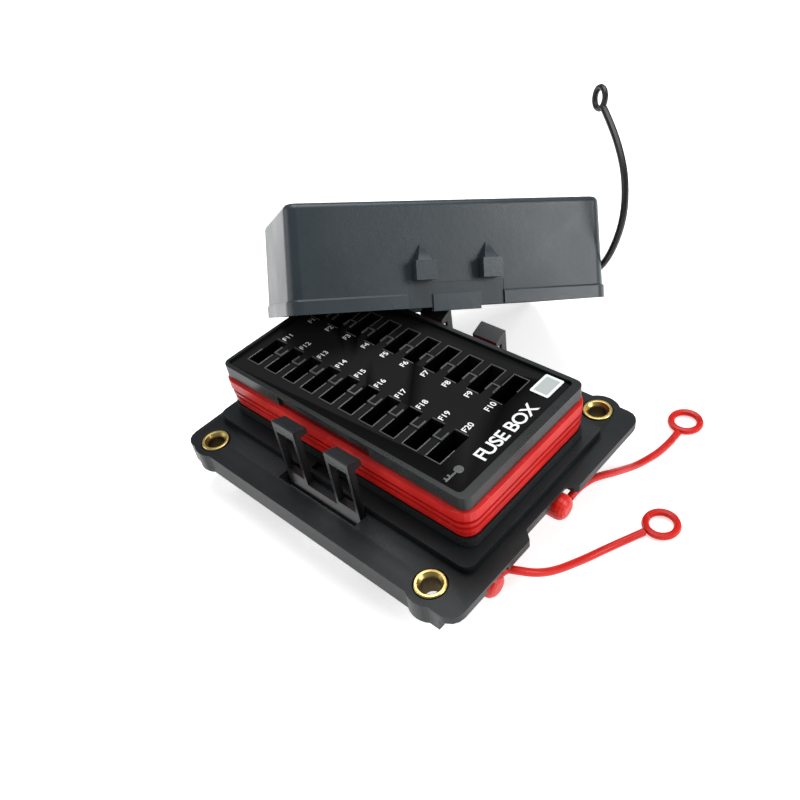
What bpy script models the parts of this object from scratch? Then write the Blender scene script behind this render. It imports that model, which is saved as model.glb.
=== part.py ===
"""Sealed fuse panel with its cover lifted off and leaned on it.

The panel is a flanged base that carries a sealed fuse module. The module holds the fuse sockets,
two bus bars, the load terminals and their locks. Two hooked latches hold the cover when it is closed.
Red rubber caps with pull straps protect the two input studs under the flange.

Lengths are written in millimetres and turned into metres when a mesh is made.
The origin is in the middle of the module, on the surface that the panel stands on.
X runs along the fuse rows, towards the studs. Y runs to the back, and Z is up.
"""
import math

import bmesh
import bpy
from mathutils import Euler, Matrix, Vector

MM = 0.001
COLLECTION = "fuse_panel"

# Heights above the surface that the panel stands on
FLANGE_TOP = 20.5
FLANGE_PLATE = 3.0
SKIRT_DROP = 8.0
PLINTH_RISE = 3.0
NECK_LOW = FLANGE_TOP + 6.9
NECK_HIGH = FLANGE_TOP + 19.3
RIM_TOP = FLANGE_TOP + 24.06
FACE_TOP = RIM_TOP - 1.06
PLATE_LOW = FLANGE_TOP - FLANGE_PLATE
SKIRT_LOW = FLANGE_TOP - SKIRT_DROP
PLINTH_TOP = FLANGE_TOP + PLINTH_RISE

# Clearances and walls
GAP = 0.3
SKIRT_WALL = 2.4
BODY_WALL = 1.6

# Mounting base, seen from above
LEFT, RIGHT = -60.5, 63.7
FRONT, BACK = -49.8, 48.9
NOTCH_FRONT, NOTCH_BACK, NOTCH_X = -12.6, 11.2, 60.6
PLINTH_X, PLINTH_Y = 57.6, 35.3
BUSHING_X, BUSHING_Y = 50.25, 43.47
BUSHING_OUTER, BUSHING_BORE = 5.0, 3.0
PAD_RADIUS = 7.6
SKIRT_RIGHT = BUSHING_X + PAD_RADIUS + 0.15

# Module
RIM_X, RIM_Y = 54.0, 29.33
NECK_X, NECK_Y = 52.0, 27.4
SHOULDER_X, SHOULDER_Y = 54.6, 29.9
BODY_LEFT, BODY_RIGHT, BODY_Y = -51.5, 43.5, 26.5
LID_LEFT, LID_RIGHT, LID_Y = -52.6, 50.6, 27.4
FLOOR = 2.5

# Fuse sockets
SOCKETS = 10
PITCH = 9.08
LAST_X = 35.7
SOCKET_X, SOCKET_LENGTH = 5.4, 13.1
SOCKET_Y = 15.05
SOCKET_FLOOR = FLANGE_TOP + 9.0
BLADE_SPACING = 8.1
BUS_Y = SOCKET_Y - BLADE_SPACING / 2
LOAD_Y = SOCKET_Y + BLADE_SPACING / 2
INSERT_LOW = 7.5
TERMINAL_TOP = SOCKET_FLOOR - 0.5
SOCKET_XS = [LAST_X - PITCH * (SOCKETS - 1 - i) for i in range(SOCKETS)]

# Terminal locks
LOCK_LOW, LOCK_HIGH = 4.6, 7.0
LOCK_INNER, LOCK_OUTER = 13.6, 22.2
LOCK_TONGUE = 14.0
LOCK_LIP = 29.0

# Bus bars and input studs
BUS_LOW, BUS_HIGH = 11.0, 17.0
BUS_THICK = 1.2
TAIL_X, TAIL_THICK = 46.9, 1.4
STUD_Z = FLANGE_TOP - 5.9
STUD_YS = {"front": -30.0, "back": 5.4}
STUD_RADIUS = 2.4
NUT_RADIUS = 4.62
CAP_START, CAP_END = 54.8, 63.8
CAP_RADIUS, CAP_BORE = 4.3, 2.7

# Latches
LATCH_CENTRE = 12.0
LATCH_ARM = 10.2
WINDOW_X = 7.8
WINDOW_LOW, WINDOW_HIGH = FLANGE_TOP + 2.0, FLANGE_TOP + 19.5
LATCH_OUTER, LATCH_INNER = 38.4, 35.8
LATCH_LOW, LATCH_HIGH = SKIRT_LOW + 0.5, FLANGE_TOP + 23.5
HOOK_REACH = 33.0
LATCH_AXIS_Y, LATCH_AXIS_Z = 38.0, SKIRT_LOW + 2.3
TRUNNION = 1.3

# Cover, in its own frame: Z = 0 at the open edge, Z up to the roof
COVER_X, COVER_Y, COVER_HEIGHT = 58.9, 33.3, 36.6
COVER_WALL = 1.9
COVER_CORNER = 5.5
LIP_HEIGHT, LIP_STEP = 4.4, 0.6
COVER_DRAFT = 0.7
ROOF_ROUND = 2.2
LUG_WIDTH, LUG_LOW, LUG_HIGH, LUG_OUT = 7.2, 9.3, 15.9, 37.8
RAMP_TOP = 22.3
ZONE_HALF, ZONE_HIGH = 17.6, 8.6
TAB_HALF, TAB_DROP = 8.7, 1.4
# The loose cover leans on the module's left rim, on the flange's back left corner and on the table
COVER_PLACE = (-27.3, 48.1, FLANGE_TOP + 10.15)
COVER_TILT = (-33.084, 13.346, 57.184)

# Tether of the cover, in the cover's frame
TETHER_X = 59.9
TETHER_PIN = (-15.0, 9.7)
TETHER_RADIUS = 1.3
TETHER_ROUTE = [
    (-18.6, 10.2), (-24.0, 10.9), (-30.6, 14.2), (-37.2, 20.2), (-42.0, 27.6),
    (-43.8, 36.0), (-43.0, 44.7), (-39.4, 54.1), (-34.6, 62.4), (-31.2, 67.4),
]
TETHER_RING = (-29.0, 71.4)
TETHER_RING_RADIUS = 3.7

# Pull straps of the stud caps, from the cap to the ring
STRAP_DIAMETER = 2.6
STRAP_ROUTES = {
    "front": [
        (61.2, -25.2, 14.6), (61.9, -23.2, 14.5), (64.2, -21.4, 13.8), (67.2, -18.2, 11.8),
        (69.3, -14.2, 9.4), (70.8, -9.4, 7.0), (72.0, -4.2, 4.8), (73.4, 1.3, 2.9),
        (75.2, 7.2, 1.7), (77.4, 12.5, 1.35), (79.4, 16.7, 1.35), (81.5, 21.18, 1.35),
    ],
    "back": [
        (61.3, 10.05, 14.6), (61.3, 13.5, 14.8), (61.6, 17.4, 14.5), (62.3, 21.8, 13.6),
        (63.5, 26.2, 12.1), (64.6, 31.0, 9.8), (65.2, 36.6, 6.7), (65.9, 42.6, 3.7),
        (66.9, 48.8, 1.9), (68.1, 54.5, 1.35), (68.8, 60.5, 1.35), (68.9, 66.86, 1.35),
    ],
}
RING_CENTRES = {"front": (84.3, 27.1), "back": (68.4, 73.4)}
RING_MAJOR, RING_MINOR = 6.2, 1.25

# Finish of each material: colour, roughness, metallic
FINISHES = {
    "base_plastic": ((0.030, 0.034, 0.038), 0.42, 0.0),
    "module_plastic": ((0.050, 0.055, 0.060), 0.40, 0.0),
    "face_plastic": ((0.012, 0.012, 0.014), 0.50, 0.0),
    "cover_plastic": ((0.085, 0.105, 0.120), 0.45, 0.0),
    "latch_plastic": ((0.045, 0.048, 0.052), 0.42, 0.0),
    "tether_plastic": ((0.010, 0.010, 0.012), 0.45, 0.0),
    "lock_plastic": ((0.35, 0.36, 0.36), 0.50, 0.0),
    "seal_rubber": ((0.62, 0.045, 0.030), 0.50, 0.0),
    "cap_rubber": ((0.80, 0.030, 0.020), 0.40, 0.0),
    "brass": ((0.62, 0.43, 0.15), 0.28, 1.0),
    "copper": ((0.72, 0.36, 0.22), 0.30, 1.0),
    "zinc_steel": ((0.58, 0.58, 0.56), 0.32, 1.0),
    "label_film": ((0.90, 0.91, 0.91), 0.45, 0.0),
}


# ---------------------------------------------------------------- scene helpers

def clear_scene():
    for obj in list(bpy.data.objects):
        bpy.data.objects.remove(obj, do_unlink=True)


def new_collection(name):
    collection = bpy.data.collections.new(name)
    bpy.context.scene.collection.children.link(collection)
    return collection


clear_scene()
PARTS = new_collection(COLLECTION)
CUTTERS = new_collection("cutters")


def finish_material(slot):
    """The Principled material of one finish, made the first time it is asked for."""
    if slot in bpy.data.materials:
        return bpy.data.materials[slot]
    colour, roughness, metallic = FINISHES[slot]
    material = bpy.data.materials.new(slot)
    material.use_nodes = True
    shader = material.node_tree.nodes["Principled BSDF"]
    shader.inputs["Base Color"].default_value = (*colour, 1.0)
    shader.inputs["Roughness"].default_value = roughness
    shader.inputs["Metallic"].default_value = metallic
    return material


def metres(*values):
    return Vector(values) * MM


def mesh_object(name, bm):
    """Turn a bmesh in metres into an object with outward faces."""
    bmesh.ops.recalc_face_normals(bm, faces=bm.faces[:])
    mesh = bpy.data.meshes.new(name)
    bm.to_mesh(mesh)
    bm.free()
    return bpy.data.objects.new(name, mesh)


def as_part(obj, slot, smooth_angle=None):
    """Put a finished object in the parts collection with its own material."""
    obj.data.materials.clear()
    obj.data.materials.append(finish_material(slot))
    if smooth_angle:
        obj.data.shade_smooth()
        obj.data.set_sharp_from_angle(angle=math.radians(smooth_angle))
    PARTS.objects.link(obj)
    return obj


def as_tool(obj):
    """Put an object with the cutters, where the build leaves it out."""
    obj.hide_render = True
    obj.display_type = "WIRE"
    CUTTERS.objects.link(obj)
    return obj


def boolean(target, tool, operation):
    modifier = target.modifiers.new(f"{operation.lower()}_{tool.name}", "BOOLEAN")
    modifier.operation = operation
    modifier.solver = "EXACT"
    modifier.object = as_tool(tool)
    return target


def cut(target, *tools):
    for tool in tools:
        boolean(target, tool, "DIFFERENCE")
    return target


def add(target, *tools):
    for tool in tools:
        boolean(target, tool, "UNION")
    return target


def set_origin(obj, point):
    """Move an object's origin to a point in millimetres and leave its shape where it is."""
    place = metres(*point)
    obj.data.transform(Matrix.Translation(-place))
    obj.location = place
    return obj


# ---------------------------------------------------------------- shape helpers

def boxes(name, corners):
    """One mesh of separate boxes, each given by its low and high corner in millimetres."""
    bm = bmesh.new()
    for low, high in corners:
        low, high = metres(*low), metres(*high)
        matrix = Matrix.Translation((low + high) / 2) @ Matrix.Diagonal((*(high - low), 1.0))
        bmesh.ops.create_cube(bm, size=1.0, matrix=matrix)
    return mesh_object(name, bm)


def box(name, low, high):
    return boxes(name, [(low, high)])


AXIS_TURN = {
    "x": Matrix.Rotation(math.radians(90), 4, "Y"),
    "y": Matrix.Rotation(math.radians(-90), 4, "X"),
    "z": Matrix.Identity(4),
}


def rounds(name, items, axis="z", segments=24):
    """One mesh of separate cylinders. Each item is (centre, radius, length)."""
    bm = bmesh.new()
    for centre, radius, length in items:
        matrix = Matrix.Translation(metres(*centre)) @ AXIS_TURN[axis]
        bmesh.ops.create_cone(
            bm, cap_ends=True, segments=segments, radius1=radius * MM, radius2=radius * MM,
            depth=length * MM, matrix=matrix,
        )
    return mesh_object(name, bm)


def filleted(corners, segments=4):
    """Points of an outline whose corners (x, y, radius) run anticlockwise or clockwise."""
    points = []
    for index, (x, y, radius) in enumerate(corners):
        here = Vector((x, y))
        before = Vector(corners[index - 1][:2]) - here
        after = Vector(corners[(index + 1) % len(corners)][:2]) - here
        if radius <= 0:
            points.append(here)
            continue
        before.normalize()
        after.normalize()
        half = before.angle(after) / 2
        centre = here + (before + after).normalized() * (radius / math.sin(half))
        start = here + before * (radius / math.tan(half)) - centre
        end = here + after * (radius / math.tan(half)) - centre
        for step in range(segments + 1):
            points.append(centre + start.slerp(end, step / segments).normalized() * radius)
    return points


def extruded(name, points, low, high, axis="z"):
    """A flat outline, given in millimetres, as a solid between two heights along an axis."""
    curve = bpy.data.curves.new(name, "CURVE")
    curve.dimensions = "2D"
    curve.fill_mode = "BOTH"
    curve.extrude = (high - low) / 2 * MM
    spline = curve.splines.new("POLY")
    spline.points.add(len(points) - 1)
    for target, point in zip(spline.points, points):
        target.co = (point[0] * MM, point[1] * MM, 0.0, 1.0)
    spline.use_cyclic_u = True
    middle = (low + high) / 2 * MM
    if axis == "z":
        matrix = Matrix.Translation((0, 0, middle))
    else:
        # the outline's own Y becomes Z, and it is extruded along Y
        matrix = Matrix.Translation((0, middle, 0)) @ Matrix.Rotation(math.radians(90), 4, "X")
    return curve_to_mesh(name, curve, matrix)


def curve_to_mesh(name, curve, matrix):
    """Weld a curve's evaluated mesh into one closed body."""
    holder = bpy.data.objects.new(name + "_curve", curve)
    bpy.context.scene.collection.objects.link(holder)
    graph = bpy.context.evaluated_depsgraph_get()
    mesh = bpy.data.meshes.new_from_object(holder.evaluated_get(graph))
    bpy.data.objects.remove(holder, do_unlink=True)
    bm = bmesh.new()
    bm.from_mesh(mesh)
    bmesh.ops.remove_doubles(bm, verts=bm.verts[:], dist=0.000005)
    bmesh.ops.transform(bm, matrix=matrix, verts=bm.verts[:])
    bpy.data.meshes.remove(mesh)
    return mesh_object(name, bm)


def rounded_loop(half_x, half_y, radius, centre_x=0.0, segments=4):
    """Points of a rectangle with round corners."""
    low, high = centre_x - half_x, centre_x + half_x
    corners = [(low, -half_y), (high, -half_y), (high, half_y), (low, half_y)]
    return filleted([(x, y, radius) for x, y in corners], segments)


def loft(name, sections, ring=False, cap_low=True, cap_high=True):
    """Faces between outlines at rising heights. A ring joins the last outline to the first."""
    bm = bmesh.new()
    loops = []
    for points, height in sections:
        loops.append([bm.verts.new(metres(x, y, height)) for x, y in points])
    pairs = list(zip(loops, loops[1:]))
    if ring:
        pairs.append((loops[-1], loops[0]))
    for lower, upper in pairs:
        for index in range(len(lower)):
            after = (index + 1) % len(lower)
            bm.faces.new((lower[index], lower[after], upper[after], upper[index]))
    if not ring and cap_low:
        bm.faces.new(loops[0][::-1])
    if not ring and cap_high:
        bm.faces.new(loops[-1])
    return mesh_object(name, bm)


def turned(name, profile, place, axis="z", segments=24):
    """A Screw modifier turns a profile of (radius, height), which runs down the outer side."""
    mesh = bpy.data.meshes.new(name)
    points = [metres(radius, 0, height) for radius, height in profile]
    edges = [(i, i + 1) for i in range(len(points) - 1)]
    if profile[0][0] > 0:
        edges.append((len(points) - 1, 0))
    mesh.from_pydata(points, edges, [])
    obj = bpy.data.objects.new(name, mesh)
    screw = obj.modifiers.new("turn", "SCREW")
    screw.steps = segments
    screw.render_steps = segments
    screw.use_merge_vertices = True
    screw.merge_threshold = 0.00001
    obj.matrix_world = Matrix.Translation(metres(*place)) @ AXIS_TURN[axis]
    return obj


def smooth_route(route, spacing):
    """Points on a Catmull-Rom curve through the route, about one spacing apart."""
    knots = [Vector(p) for p in route]
    knots = [2 * knots[0] - knots[1]] + knots + [2 * knots[-1] - knots[-2]]
    points = []
    for a, b, c, d in zip(knots, knots[1:], knots[2:], knots[3:]):
        steps = max(1, round((c - b).length / spacing))
        for step in range(steps):
            t = step / steps
            points.append(
                0.5 * (2 * b + (c - a) * t + (2 * a - 5 * b + 4 * c - d) * t * t
                       + (3 * b - a - 3 * c + d) * t ** 3)
            )
    return points + [knots[-2]]


def tube(name, points, radius, resolution=2):
    """A curve with a round section and filled caps."""
    curve = bpy.data.curves.new(name, "CURVE")
    curve.dimensions = "3D"
    curve.bevel_depth = radius * MM
    curve.bevel_resolution = resolution
    curve.use_fill_caps = True
    spline = curve.splines.new("POLY")
    spline.points.add(len(points) - 1)
    for target, point in zip(spline.points, points):
        target.co = (*metres(*point), 1.0)
    return curve


def torus(name, centre, major, minor, axis="z", segments=(28, 8)):
    """A ring made by turning a small circle with a Screw modifier."""
    around, across = segments
    mesh = bpy.data.meshes.new(name)
    angles = [-2 * math.pi * i / across for i in range(across)]
    points = [metres(major + minor * math.cos(a), 0, minor * math.sin(a)) for a in angles]
    mesh.from_pydata(points, [(i, (i + 1) % across) for i in range(across)], [])
    obj = bpy.data.objects.new(name, mesh)
    screw = obj.modifiers.new("turn", "SCREW")
    screw.steps = around
    screw.render_steps = around
    screw.use_merge_vertices = True
    screw.merge_threshold = 0.00001
    obj.matrix_world = Matrix.Translation(metres(*centre)) @ AXIS_TURN[axis]
    return obj


def inset(corners, distance):
    """Move every side of an anticlockwise outline inwards and keep the corner radii."""
    result = []
    for index, (x, y, radius) in enumerate(corners):
        here = Vector((x, y))
        into = (here - Vector(corners[index - 1][:2])).normalized()
        out = (Vector(corners[(index + 1) % len(corners)][:2]) - here).normalized()
        side_in = Vector((-into.y, into.x))
        side_out = Vector((-out.y, out.x))
        shift = (side_in + side_out) * (distance / (1 + side_in.dot(side_out)))
        result.append((x + shift.x, y + shift.y, max(0.3, radius - distance)))
    return result


SIDES = {"front": -1, "back": 1}
SQUARE = [(sx, sy) for sy in (-1, 1) for sx in (-1, 1)]


def mirrored_box(side, x_low, x_high, y_near, y_far, z_low, z_high):
    """Corners of a box on the front or the back; y values are distances from the middle."""
    low, high = sorted((side * y_near, side * y_far))
    return (x_low, low, z_low), (x_high, high, z_high)


# ---------------------------------------------------------------- base and bushings

def make_base():
    outline = [
        (LEFT, FRONT, 5.0), (RIGHT, FRONT, 5.0), (RIGHT, NOTCH_FRONT - 1.8, 1.0),
        (NOTCH_X, NOTCH_FRONT + 0.8, 1.2), (NOTCH_X, NOTCH_BACK - 2.4, 1.2),
        (RIGHT, NOTCH_BACK + 0.4, 1.0), (RIGHT, BACK, 5.0), (LEFT, BACK, 5.0),
    ]
    base = extruded("mounting_base", filleted(outline), SKIRT_LOW, FLANGE_TOP)
    hollow = extruded("base_hollow", filleted(inset(outline, SKIRT_WALL)), SKIRT_LOW - 1, PLATE_LOW)
    cut(base, hollow)
    pads = [((sx * BUSHING_X, sy * BUSHING_Y, (SKIRT_LOW + FLANGE_TOP) / 2), PAD_RADIUS, SKIRT_DROP)
            for sx, sy in SQUARE]
    plinth_outline = rounded_loop(PLINTH_X, PLINTH_Y, 3.0)
    plinth = extruded("base_plinth", plinth_outline, PLATE_LOW + 0.5, PLINTH_TOP)
    add(base, rounds("base_pads", pads, segments=32), plinth)

    bearings = []
    for side in SIDES.values():
        for sx in (-1, 1):
            inner, outer = sorted((sx * 17.9, sx * 20.9))
            bearings.append(mirrored_box(side, inner, outer, 35.1, 40.9, SKIRT_LOW, PLATE_LOW + 0.6))
    add(base, boxes("base_bearings", bearings))

    middle = (BODY_LEFT + BODY_RIGHT) / 2
    half = (BODY_RIGHT - BODY_LEFT) / 2 + 0.4
    opening = rounded_loop(half, BODY_Y + 0.4, 2.0, middle)
    cut(base, extruded("base_opening", opening, SKIRT_LOW - 2, PLINTH_TOP + 1))

    slots, keys, reliefs = [], [], []
    for side in SIDES.values():
        slots.append(mirrored_box(side, -17.9, 17.9, 35.5, 41.8, SKIRT_LOW - 2, FLANGE_TOP + 1))
        keys.append(mirrored_box(side, -9.3, 9.3, 30.6, 33.9, PLINTH_TOP - 1.9, PLINTH_TOP + 1))
    for y in STUD_YS.values():
        reliefs.append(((BODY_RIGHT + 0.3, y - 5.0, SKIRT_LOW - 1), (RIGHT + 1, y + 5.0, FLANGE_TOP - 1.1)))
    open_end = [((SKIRT_RIGHT, FRONT - 1, SKIRT_LOW - 1.5), (RIGHT + 1.5, BACK + 1, PLATE_LOW + 0.1))]
    cut(base, boxes("base_slots", slots), boxes("base_keys", keys), boxes("base_reliefs", reliefs),
        boxes("base_open_end", open_end))

    pins = [((0, side * LATCH_AXIS_Y, LATCH_AXIS_Z), TRUNNION + GAP, 44.0) for side in SIDES.values()]
    cut(base, rounds("base_pin_holes", pins, axis="x", segments=16))
    holes = [((sx * BUSHING_X, sy * BUSHING_Y, FLANGE_TOP - 4), BUSHING_OUTER + GAP, 20) for sx, sy in SQUARE]
    cut(base, rounds("base_bushing_holes", holes, segments=32))
    return as_part(base, "base_plastic")


def make_bushings():
    names = {-1: "left", 1: "right"}
    profile = [
        (BUSHING_BORE + 0.9, FLANGE_TOP + 0.5), (BUSHING_OUTER - 0.3, FLANGE_TOP + 0.5),
        (BUSHING_OUTER, FLANGE_TOP + 0.2), (BUSHING_OUTER, SKIRT_LOW),
        (BUSHING_BORE, SKIRT_LOW), (BUSHING_BORE, FLANGE_TOP - 0.7),
    ]
    for side, sy in SIDES.items():
        for sx in (-1, 1):
            place = (sx * BUSHING_X, sy * BUSHING_Y, 0)
            as_part(turned(f"bushing_{side}_{names[sx]}", profile, place, segments=28), "brass")


# ---------------------------------------------------------------- module

def make_housing():
    sections = [
        ((BODY_RIGHT - BODY_LEFT) / 2, BODY_Y, 2.0, (BODY_LEFT + BODY_RIGHT) / 2, 0.0, PLINTH_TOP + GAP),
        (SHOULDER_X, SHOULDER_Y, 4.0, 0.0, PLINTH_TOP + GAP, NECK_LOW),
        (NECK_X, NECK_Y, 2.5, 0.0, NECK_LOW, NECK_HIGH),
        (RIM_X, RIM_Y, 3.0, 0.0, NECK_HIGH, RIM_TOP),
    ]
    outer = []
    for half_x, half_y, radius, middle, low, high in sections:
        loop = rounded_loop(half_x, half_y, radius, middle)
        outer += [(loop, low), (loop, high)]
    housing = loft("module_housing", outer)

    inner_left, inner_right = BODY_LEFT + BODY_WALL, BODY_RIGHT - BODY_WALL
    low_room = rounded_loop(
        (inner_right - inner_left) / 2, BODY_Y - BODY_WALL, 1.0, (inner_left + inner_right) / 2)
    neck_room = rounded_loop(49.65, 25.7, 1.5, -0.75)
    lid_room = rounded_loop(
        (LID_RIGHT - LID_LEFT) / 2 + GAP, LID_Y + GAP, 1.5, (LID_LEFT + LID_RIGHT) / 2)
    room = loft("module_room", [
        (low_room, FLOOR), (low_room, PLINTH_TOP + 1), (neck_room, PLINTH_TOP + 1),
        (neck_room, NECK_HIGH + 0.4), (lid_room, NECK_HIGH + 0.4), (lid_room, RIM_TOP + 1),
    ])
    cut(housing, room)

    windows = []
    for side in SIDES.values():
        windows.append(mirrored_box(
            side, -LOCK_TONGUE - GAP, LOCK_TONGUE + GAP, BODY_Y - 2.5, BODY_Y + 1,
            LOCK_LOW - GAP, LOCK_HIGH + GAP))
        windows.append(mirrored_box(
            side, BODY_RIGHT - 3, BODY_RIGHT + 1, BUS_Y - 0.9, BUS_Y + 0.9, BUS_LOW - GAP, BUS_HIGH + GAP))
    recesses = [
        mirrored_box(-1, -24.7, 16.9, RIM_Y - 1.0, RIM_Y + 1, NECK_HIGH - 0.5, RIM_TOP - 1.1),
        mirrored_box(1, -24.7, 16.9, RIM_Y - 1.0, RIM_Y + 1, NECK_HIGH - 0.5, RIM_TOP - 1.1),
    ]
    cut(housing, boxes("module_windows", windows), boxes("module_recesses", recesses))
    wires = [((x, side * LOAD_Y, FLOOR / 2), 1.95, FLOOR + 2)
             for side in SIDES.values() for x in SOCKET_XS]
    cut(housing, rounds("module_wire_holes", wires, segments=10))
    return as_part(housing, "module_plastic")


def make_fuse_block():
    block_left, block_right = BODY_LEFT + BODY_WALL + GAP, BODY_RIGHT - BODY_WALL - GAP
    block_y = BODY_Y - BODY_WALL - GAP
    body = rounded_loop(
        (block_right - block_left) / 2, block_y, 0.8, (block_left + block_right) / 2, segments=2)
    lid = rounded_loop((LID_RIGHT - LID_LEFT) / 2, LID_Y, 1.2, (LID_LEFT + LID_RIGHT) / 2, segments=2)
    lid_low = NECK_HIGH + 0.4 + GAP
    block = loft("fuse_block", [(body, INSERT_LOW), (body, lid_low), (lid, lid_low), (lid, FACE_TOP)])

    sockets, sleeves, slots = [], [], []
    for side in SIDES.values():
        for x in SOCKET_XS:
            sockets.append(mirrored_box(
                side, x - SOCKET_X / 2, x + SOCKET_X / 2, SOCKET_Y - SOCKET_LENGTH / 2,
                SOCKET_Y + SOCKET_LENGTH / 2, SOCKET_FLOOR, FACE_TOP + 1))
            sleeves.append(mirrored_box(
                side, x - 1.9, x + 1.9, LOAD_Y - 1.7, LOAD_Y + 1.7, INSERT_LOW - 1, SOCKET_FLOOR + 0.4))
        slots.append(mirrored_box(
            side, SOCKET_XS[0] - 2.2, block_right + 1, BUS_Y - 0.9, BUS_Y + 0.9,
            INSERT_LOW - 1, SOCKET_FLOOR + 0.4))
    cut(block, boxes("block_sockets", sockets), boxes("block_sleeves", sleeves), boxes("block_slots", slots))
    return as_part(block, "face_plastic")


def make_seal():
    """A ring with one broad rib under the rim and two narrow ones below it."""
    low, high = NECK_LOW + GAP, NECK_HIGH - GAP
    base, valley = 1.6, 1.3
    profile = [(GAP, low), (base + 0.3, low), (base + 0.3, low + 0.8), (valley, low + 1.3)]
    for rib_low, rib_high, reach in ((2.0, 3.4, 2.5), (4.8, 6.2, 2.7), (7.6, 11.2, 3.0)):
        profile += [(reach, low + rib_low), (reach, low + rib_high), (valley, low + rib_high + 0.6)]
    profile[-1] = (base, high)
    profile.append((GAP, high))
    sections = []
    for offset, z in profile:
        sections.append((rounded_loop(NECK_X + offset, NECK_Y + offset, 2.5 + offset, segments=5), z))
    return as_part(loft("perimeter_seal", sections, ring=True), "seal_rubber")


# ---------------------------------------------------------------- current path

def make_bus_bars():
    for side_name, side in SIDES.items():
        fork, gap = 1.6, 0.45
        points = [(SOCKET_XS[0] - fork, BUS_LOW), (TAIL_X + TAIL_THICK, BUS_LOW),
                  (TAIL_X + TAIL_THICK, BUS_HIGH)]
        for x in reversed(SOCKET_XS):
            points += [
                (x + fork, BUS_HIGH), (x + fork, TERMINAL_TOP), (x + gap, TERMINAL_TOP),
                (x + gap, TERMINAL_TOP - 8), (x - gap, TERMINAL_TOP - 8), (x - gap, TERMINAL_TOP),
                (x - fork, TERMINAL_TOP), (x - fork, BUS_HIGH),
            ]
        points.pop()
        points = [Vector(p) for p in points]
        low, high = sorted((side * (BUS_Y - BUS_THICK / 2), side * (BUS_Y + BUS_THICK / 2)))
        bar = extruded(f"bus_bar_{side_name}", points, low, high, axis="y")
        stud_y = STUD_YS[side_name]
        ends = (stud_y - 4.6, stud_y + 4.6, low, high)
        tail = box(f"bus_tail_{side_name}", (TAIL_X, min(ends), STUD_Z - 4.6), (TAIL_X + TAIL_THICK, max(ends), BUS_HIGH + 0.2))
        hole = rounds(
            f"bus_hole_{side_name}", [((TAIL_X, stud_y, STUD_Z), STUD_RADIUS + GAP, 8)], axis="x", segments=20)
        add(bar, tail)
        cut(bar, hole)
        as_part(bar, "copper")


def make_load_terminals():
    """A forked terminal under the outer blade of every fuse."""
    half, gap, depth = 1.6, 0.45, 2.8
    bottom, root = INSERT_LOW + 0.6, TERMINAL_TOP - 8
    outline = [(-half, bottom), (half, bottom), (half, TERMINAL_TOP), (gap, TERMINAL_TOP), (gap, root),
               (-gap, root), (-gap, TERMINAL_TOP), (-half, TERMINAL_TOP)]
    for side_name, side in SIDES.items():
        for number, x in enumerate(reversed(SOCKET_XS), 1):
            points = [Vector((x + dx, z)) for dx, z in outline]
            middle = side * LOAD_Y
            terminal = extruded(f"load_terminal_{side_name}_{number:02d}", points,
                                middle - depth / 2, middle + depth / 2, axis="y")
            as_part(terminal, "copper")


def make_terminal_locks():
    """Combs that slide in from each long side, under the load terminals."""
    for side_name, side in SIDES.items():
        left, right = BODY_LEFT + BODY_WALL + 0.6, BODY_RIGHT - BODY_WALL - 0.6
        comb = boxes(f"terminal_lock_{side_name}", [
            mirrored_box(side, left, right, LOCK_INNER, LOCK_OUTER, LOCK_LOW, LOCK_HIGH)])
        tongue = boxes(f"lock_tongue_{side_name}", [mirrored_box(
            side, -LOCK_TONGUE, LOCK_TONGUE, LOCK_OUTER - 2, LOCK_LIP, LOCK_LOW, LOCK_HIGH)])
        lip = boxes(f"lock_lip_{side_name}", [mirrored_box(
            side, -LOCK_TONGUE, LOCK_TONGUE, BODY_Y + 0.6, LOCK_LIP, LOCK_LOW - 1.0, LOCK_HIGH + 1.6)])
        add(comb, tongue, lip)
        holes = [mirrored_box(side, x - 1.9, x + 1.9, 14.9, 19.3, LOCK_LOW - 1, LOCK_HIGH + 1)
                 for x in SOCKET_XS]
        cut(comb, boxes(f"lock_holes_{side_name}", holes))
        as_part(comb, "lock_plastic")


def make_input_studs():
    for side_name, y in STUD_YS.items():
        head_start, head_end, stud_end = BODY_RIGHT + 0.5, TAIL_X - GAP, 59.6
        middle = (head_start + head_end) / 2
        head = rounds(f"input_stud_{side_name}", [((middle, y, STUD_Z), NUT_RADIUS, head_end - head_start)],
                      axis="x", segments=6)
        shank_start = head_end - 0.5
        shank = rounds(f"stud_shank_{side_name}",
                       [(((shank_start + stud_end) / 2, y, STUD_Z), STUD_RADIUS, stud_end - shank_start)],
                       axis="x", segments=16)
        as_part(add(head, shank), "zinc_steel")

        washer_start = TAIL_X + TAIL_THICK + GAP
        washer = turned(f"stud_washer_{side_name}", [
            (4.5, 0.8), (4.5, 0.0), (STUD_RADIUS + GAP, 0.0), (STUD_RADIUS + GAP, 0.8),
        ], (washer_start, y, STUD_Z), axis="x", segments=24)
        as_part(washer, "zinc_steel")

        nut_start = washer_start + 0.8 + GAP
        nut = rounds(f"stud_nut_{side_name}", [((nut_start + 2.0, y, STUD_Z), NUT_RADIUS, 4.0)],
                     axis="x", segments=6)
        bore = rounds(f"nut_bore_{side_name}", [((nut_start + 2.0, y, STUD_Z), STUD_RADIUS + GAP, 6.0)],
                      axis="x", segments=16)
        as_part(cut(nut, bore), "zinc_steel")


# ---------------------------------------------------------------- stud caps and straps

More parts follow.
